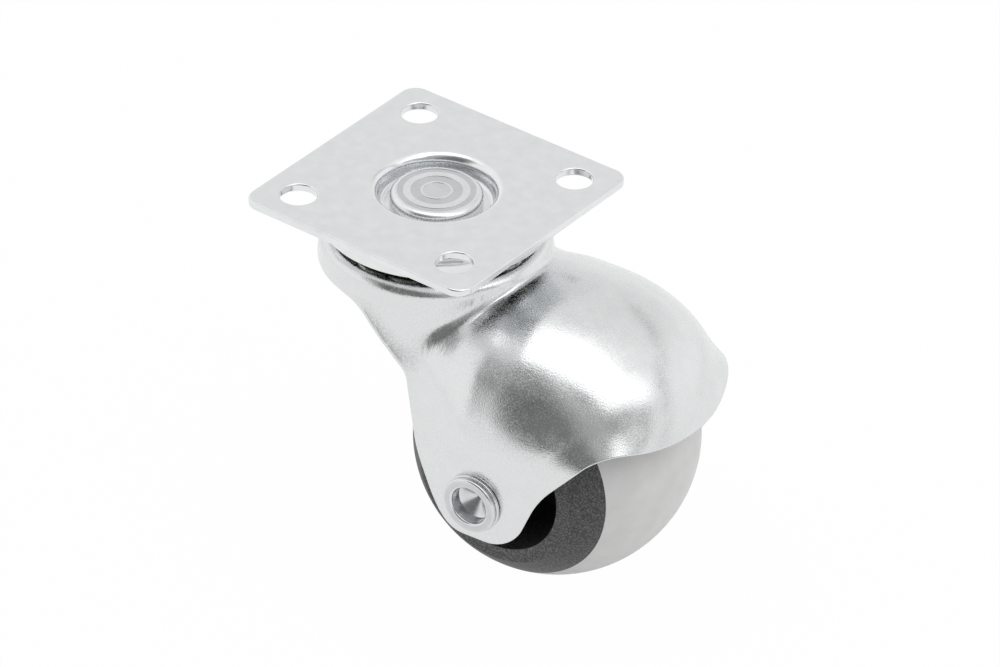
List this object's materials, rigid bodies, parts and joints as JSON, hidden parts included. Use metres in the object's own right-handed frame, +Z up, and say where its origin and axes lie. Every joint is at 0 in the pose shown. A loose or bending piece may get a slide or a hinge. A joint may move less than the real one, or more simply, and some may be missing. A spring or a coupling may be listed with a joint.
{
  "type": "ball castor",
  "caption": "Swivel ball castor with a square top plate, double ball race, pressed steel hood and a ball-shaped wheel with soft tread.",
  "frame": {"origin": "centre of the top plate's upper face, on the swivel axis", "axes": "+Z up out of the plate, along the swivel axis; X and Y along the plate's edges; the wheel trails towards +X, with the hood stored turned 4 degrees about Z"},
  "size_m": [0.0778, 0.0562, 0.0656],
  "materials": {
    "zinc_plate": "bright zinc plating, satin",
    "zinc_hood": "bright zinc plating with fine grey mottling",
    "zinc_pin": "bright zinc plating, turned and rolled",
    "bearing_steel": "polished, greased",
    "hub_plastic": "dark grey moulded, satin",
    "tread_rubber": "light grey soft tread, smooth"
  },
  "bodies": {
    "plate": {"top_plate": "zinc_plate", "upper_race": "zinc_plate", "kingpin": "zinc_pin", "lower_race": "zinc_plate"},
    "fork": {"hood": "zinc_hood", "axle_pin": "zinc_pin", "axle_sleeve": "zinc_pin", "axle_washer_left": "zinc_pin", "axle_washer_right": "zinc_pin"},
    "wheel": {"wheel_hub": "hub_plastic", "wheel_tread": "tread_rubber"},
    "upper_ball_row": {"upper_ball_01": "bearing_steel", "upper_ball_02": "bearing_steel", "upper_ball_03": "bearing_steel", "upper_ball_04": "bearing_steel", "upper_ball_05": "bearing_steel", "upper_ball_06": "bearing_steel", "upper_ball_07": "bearing_steel", "upper_ball_08": "bearing_steel", "upper_ball_09": "bearing_steel", "upper_ball_10": "bearing_steel", "upper_ball_11": "bearing_steel", "upper_ball_12": "bearing_steel", "upper_ball_13": "bearing_steel", "upper_ball_14": "bearing_steel", "upper_ball_15": "bearing_steel"},
    "lower_ball_row": {"lower_ball_01": "bearing_steel", "lower_ball_02": "bearing_steel", "lower_ball_03": "bearing_steel", "lower_ball_04": "bearing_steel", "lower_ball_05": "bearing_steel", "lower_ball_06": "bearing_steel", "lower_ball_07": "bearing_steel", "lower_ball_08": "bearing_steel", "lower_ball_09": "bearing_steel", "lower_ball_10": "bearing_steel", "lower_ball_11": "bearing_steel", "lower_ball_12": "bearing_steel", "lower_ball_13": "bearing_steel"}
  },
  "joints": [
    {"name": "swivel", "type": "hinge", "parent": "plate", "child": "fork", "pos_m": [0, 0, -0.0079], "axis": [0, 0, 1], "continuous": true},
    {"name": "upper_balls_orbit", "type": "hinge", "parent": "plate", "child": "upper_ball_row", "pos_m": [0, 0, -0.0058], "axis": [0, 0, 1], "continuous": true},
    {"name": "lower_balls_orbit", "type": "hinge", "parent": "plate", "child": "lower_ball_row", "pos_m": [0, 0, -0.01125], "axis": [0, 0, 1], "continuous": true},
    {"name": "wheel_spin", "type": "hinge", "parent": "fork", "child": "wheel", "pos_m": [0.02564, 0.00179, -0.0406], "axis": [-0.0698, 0.9976, 0], "continuous": true}
  ],
  "couplings": [
    {"joint": "upper_balls_orbit", "follows": "swivel", "ratio": 0.5},
    {"joint": "lower_balls_orbit", "follows": "swivel", "ratio": 0.5}
  ]
}
